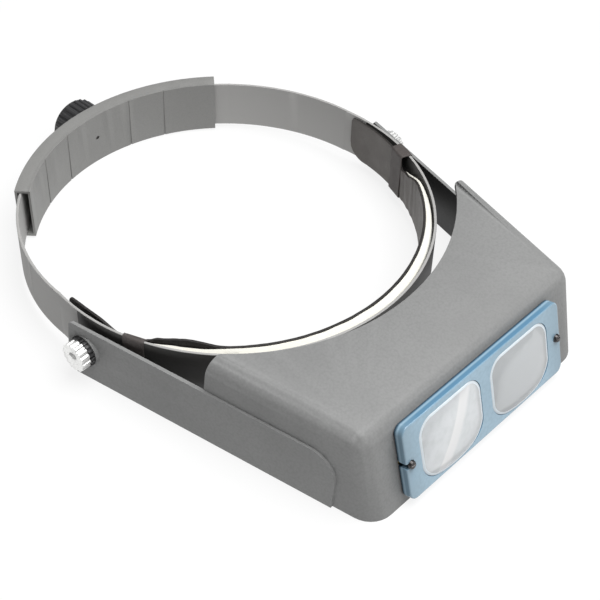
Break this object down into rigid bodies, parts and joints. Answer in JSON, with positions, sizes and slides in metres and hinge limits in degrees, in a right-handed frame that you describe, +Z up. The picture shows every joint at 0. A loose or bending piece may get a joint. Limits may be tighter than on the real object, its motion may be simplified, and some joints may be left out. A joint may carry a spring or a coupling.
{
  "type": "headband magnifier",
  "caption": "Hands-free magnifier: a moulded visor with a lens plate tilts on a padded head ring whose size is set by a knob-driven rack and pinion.",
  "frame": {"origin": "middle of the footprint, on the surface that the magnifier stands on", "axes": "+Z up, +Y towards the back of the head, +X towards the wearer's left"},
  "size_m": [0.2128, 0.27, 0.0433],
  "materials": {
    "visor_plastic": "fine pebbled matt gray, near-black inside",
    "strip_plastic": "smooth warm gray",
    "sleeve_plastic": "smooth light gray",
    "blue_plate": "translucent light blue, polished",
    "lens_glass": "polished clear",
    "dark_steel": "blackened",
    "plated_steel": "zinc plated",
    "bright_plating": "bright nickel plating",
    "insert_brass": "turned",
    "black_plastic": "matt black",
    "dark_leather": "fine-grained black-brown",
    "brown_leather": "dark brown",
    "cream_foam": "cream open-cell foam"
  },
  "bodies": {
    "headband": {"front_strip": "strip_plastic", "comfort_leather": "dark_leather", "comfort_foam": "cream_foam", "leather_loops": "brown_leather", "pivot_bolt_left": "plated_steel", "pivot_bolt_right": "plated_steel", "pivot_collar_left": "black_plastic", "pivot_collar_right": "black_plastic", "spring_washer_left": "plated_steel", "spring_washer_right": "plated_steel"},
    "visor": {"visor_shell": "visor_plastic", "lens_plate": "blue_plate", "lens_left": "lens_glass", "lens_right": "lens_glass", "lens_inserts": "insert_brass", "toothed_washer_left": "dark_steel", "toothed_washer_right": "dark_steel"},
    "sleeve": {"rear_sleeve": "sleeve_plastic", "sleeve_liner": "strip_plastic", "knob_washer": "plated_steel"},
    "left_strap": {"strap_left": "strip_plastic"},
    "right_strap": {"strap_right": "strip_plastic"},
    "knob": {"adjust_knob": "black_plastic", "pinion": "plated_steel", "knob_screw": "plated_steel"},
    "left_nut": {"pivot_nut_left": "bright_plating"},
    "right_nut": {"pivot_nut_right": "bright_plating"},
    "left_screw": {"lens_screw_left": "dark_steel"},
    "right_screw": {"lens_screw_right": "dark_steel"}
  },
  "joints": [
    {"name": "visor_tilt", "type": "hinge", "parent": "headband", "child": "visor", "pos_m": [0, 0.011, 0.0156], "axis": [-1, 0, 0], "range_deg": [-10, 60]},
    {"name": "size_adjust", "type": "slide", "parent": "headband", "child": "sleeve", "axis": [0, 0.9991, -0.0419], "range_m": [-0.006, 0.02]},
    {"name": "left_strap_flex", "type": "hinge", "parent": "headband", "child": "left_strap", "pos_m": [0.09269, 0.03299, 0.01747], "axis": [0, 0.0419, 0.9991], "range_deg": [-12.37, 3.72]},
    {"name": "right_strap_flex", "type": "hinge", "parent": "headband", "child": "right_strap", "pos_m": [-0.09269, 0.03299, 0.01747], "axis": [0, 0.0419, 0.9991], "range_deg": [-3.72, 12.37]},
    {"name": "knob_turn", "type": "hinge", "parent": "sleeve", "child": "knob", "pos_m": [0, 0.12591, 0.01358], "axis": [0, 0.9991, -0.0419], "range_deg": [-69.38, 231.26]},
    {"name": "left_nut_turn", "type": "hinge", "parent": "headband", "child": "left_nut", "pos_m": [0.103, 0.011, 0.0156], "axis": [1, 0, 0], "range_deg": [0, 360]},
    {"name": "right_nut_turn", "type": "hinge", "parent": "headband", "child": "right_nut", "pos_m": [-0.103, 0.011, 0.0156], "axis": [-1, 0, 0], "range_deg": [0, 360]},
    {"name": "left_screw_turn", "type": "hinge", "parent": "visor", "child": "left_screw", "pos_m": [0.0492, -0.12475, 0.0209], "axis": [0, -0.9568, 0.2907], "range_deg": [0, 360]},
    {"name": "right_screw_turn", "type": "hinge", "parent": "visor", "child": "right_screw", "pos_m": [-0.0492, -0.12475, 0.0209], "axis": [0, -0.9568, 0.2907], "range_deg": [0, 360]}
  ],
  "couplings": [
    {"joint": "left_strap_flex", "follows": "size_adjust", "rad_per_m": -10.789},
    {"joint": "right_strap_flex", "follows": "size_adjust", "rad_per_m": 10.789},
    {"joint": "knob_turn", "follows": "size_adjust", "rad_per_m": 201.8}
  ]
}
